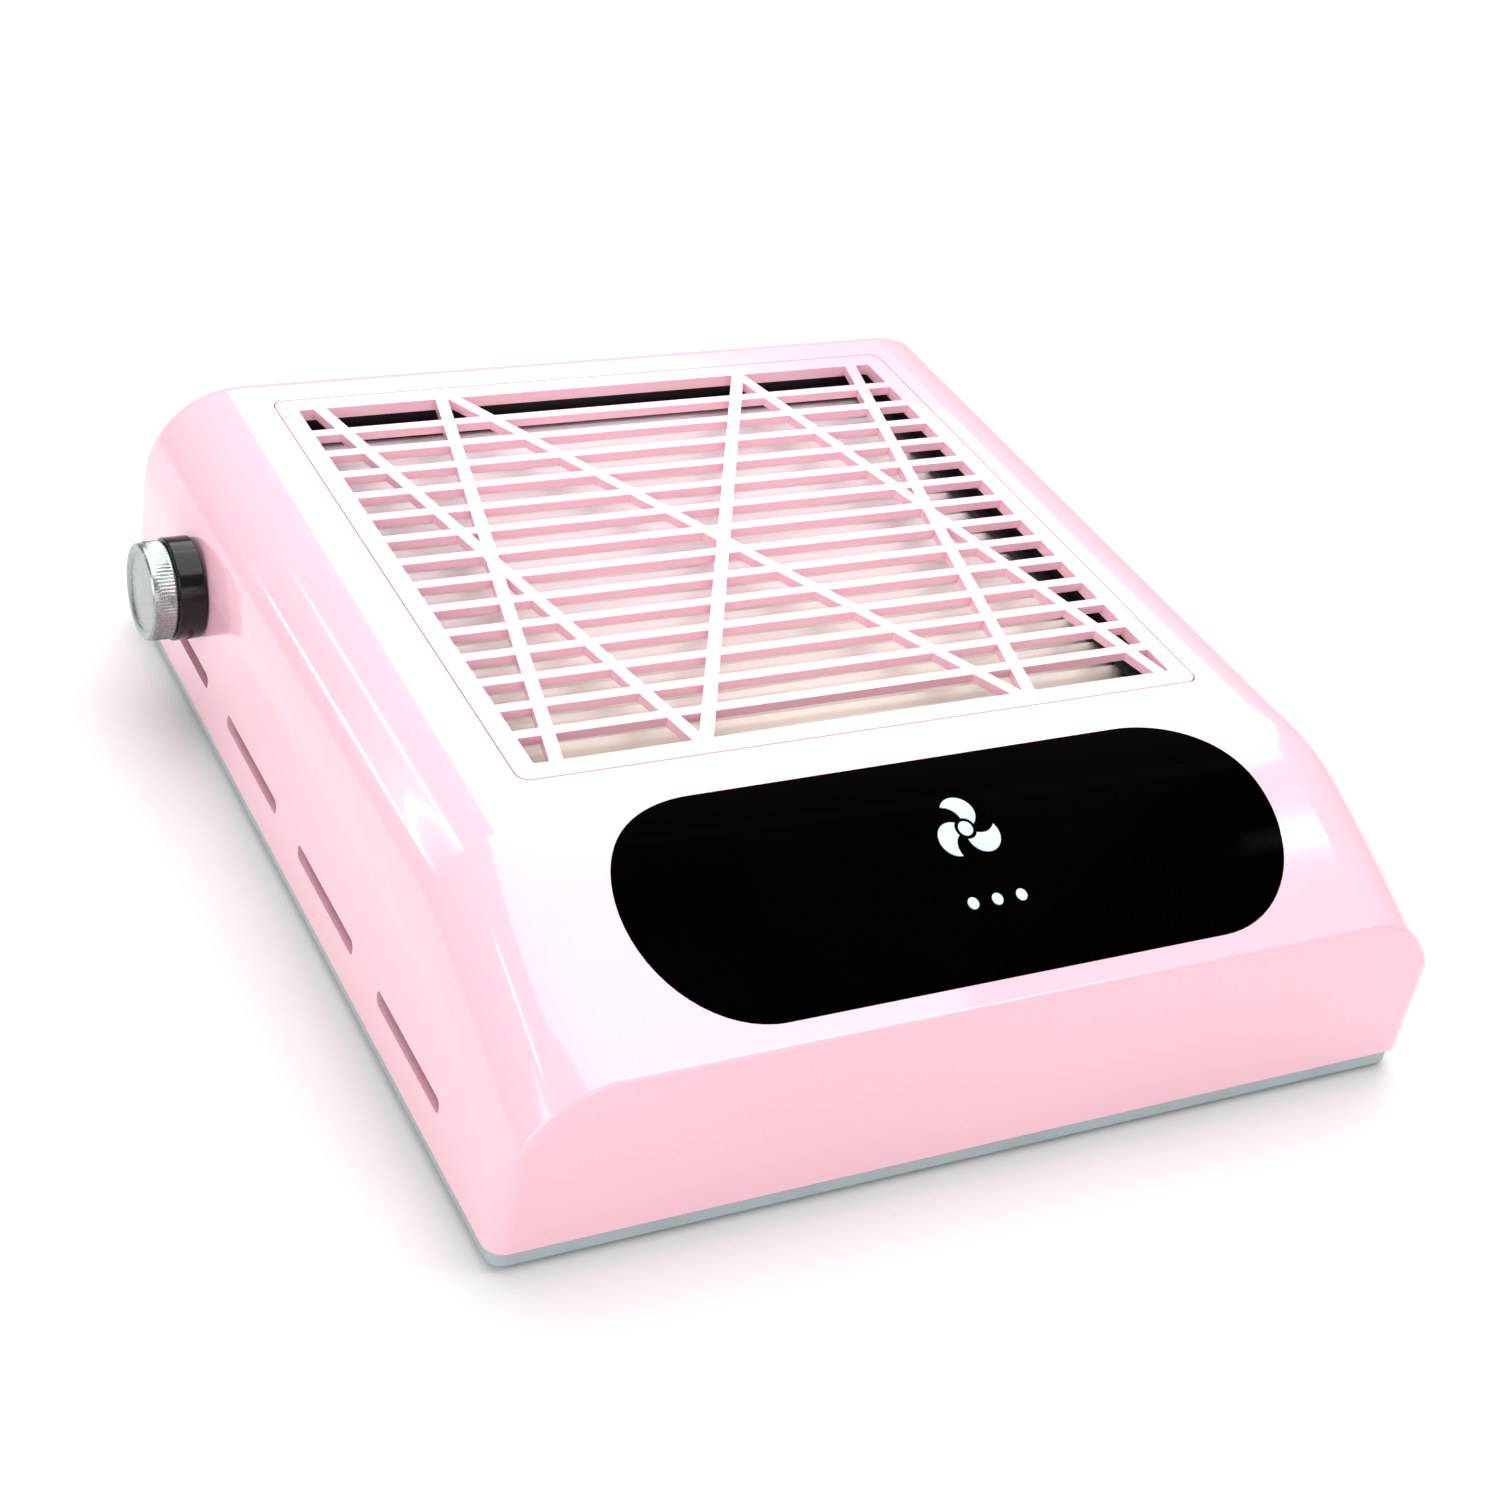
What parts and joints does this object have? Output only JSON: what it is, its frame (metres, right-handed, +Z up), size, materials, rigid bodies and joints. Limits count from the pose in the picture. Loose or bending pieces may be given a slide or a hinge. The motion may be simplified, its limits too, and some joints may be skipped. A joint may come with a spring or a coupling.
{
  "type": "nail dust collector",
  "caption": "Low desktop suction box with a lift-out filter under a flush top grille, sloped front, side vent slots and a side speed knob.",
  "frame": {"origin": "on the table, under the middle of the body without its knob, at the lower face of the feet", "axes": "+Z up, +Y to the back of the body, +X to the right of the operator's side; the slope faces -Y and the knob stands out at -X"},
  "size_m": [0.2433, 0.249, 0.0662],
  "materials": {
    "shell_pink": "high gloss moulded, pale pink",
    "plate_black": "high gloss black",
    "mark_grey": "printed ink, pale grey",
    "base_grey": "fine moulded texture, light grey",
    "rubber_black": "matt rubber",
    "screw_steel": "zinc plated",
    "frame_black": "satin moulded, black",
    "filter_paper": "pleated nonwoven sheet",
    "foam_black": "closed cell foam",
    "deck_grey": "moulded, mid grey",
    "bracket_alu": "turned",
    "lamination_steel": "stamped steel",
    "winding_copper": "enamelled copper wire",
    "magnet_dark": "bonded ferrite",
    "knob_metal": "bright turned metal, knurled",
    "board_green": "solder mask on glass fibre board",
    "lead_sleeve": "vinyl sleeve"
  },
  "bodies": {
    "case": {"upper_shell": "shell_pink", "nameplate": "plate_black", "nameplate_mark": "mark_grey", "base_plate": "base_grey", "rubber_feet": "rubber_black", "base_screws": "screw_steel", "fan_deck": "deck_grey", "deck_gasket": "foam_black", "deck_screws": "screw_steel", "finger_guard": "frame_black", "motor_bracket": "bracket_alu", "bracket_screws": "screw_steel", "stator_core": "lamination_steel", "stator_windings": "winding_copper", "potentiometer": "lamination_steel", "potentiometer_nut": "screw_steel", "power_inlet": "frame_black", "inlet_nut": "screw_steel", "control_board": "board_green", "board_components": "frame_black", "board_screws": "screw_steel", "inlet_leads": "lead_sleeve", "potentiometer_leads": "lead_sleeve", "motor_leads": "lead_sleeve", "lower_bearing": "screw_steel", "upper_bearing": "screw_steel"},
    "cartridge": {"grille_cover": "shell_pink", "filter_frame": "frame_black", "pleated_filter": "filter_paper", "filter_seal": "foam_black"},
    "knob": {"knob_skirt": "plate_black", "knob_cap": "knob_metal", "knob_shaft": "bracket_alu"},
    "fan": {"impeller": "frame_black", "rotor_cup": "lamination_steel", "rotor_magnet": "magnet_dark", "motor_shaft": "screw_steel"}
  },
  "joints": [
    {"name": "knob_turn", "type": "hinge", "parent": "case", "child": "knob", "pos_m": [-0.115, 0.0759, 0.0372], "axis": [1, 0, 0], "range_deg": [0, 300]},
    {"name": "fan_spin", "type": "hinge", "parent": "case", "child": "fan", "pos_m": [0, 0.028, 0.02], "axis": [0, 0, 1], "continuous": true},
    {"name": "cartridge_lift", "type": "slide", "parent": "case", "child": "cartridge", "axis": [0, 0, 1], "range_m": [0, 0.06]}
  ]
}
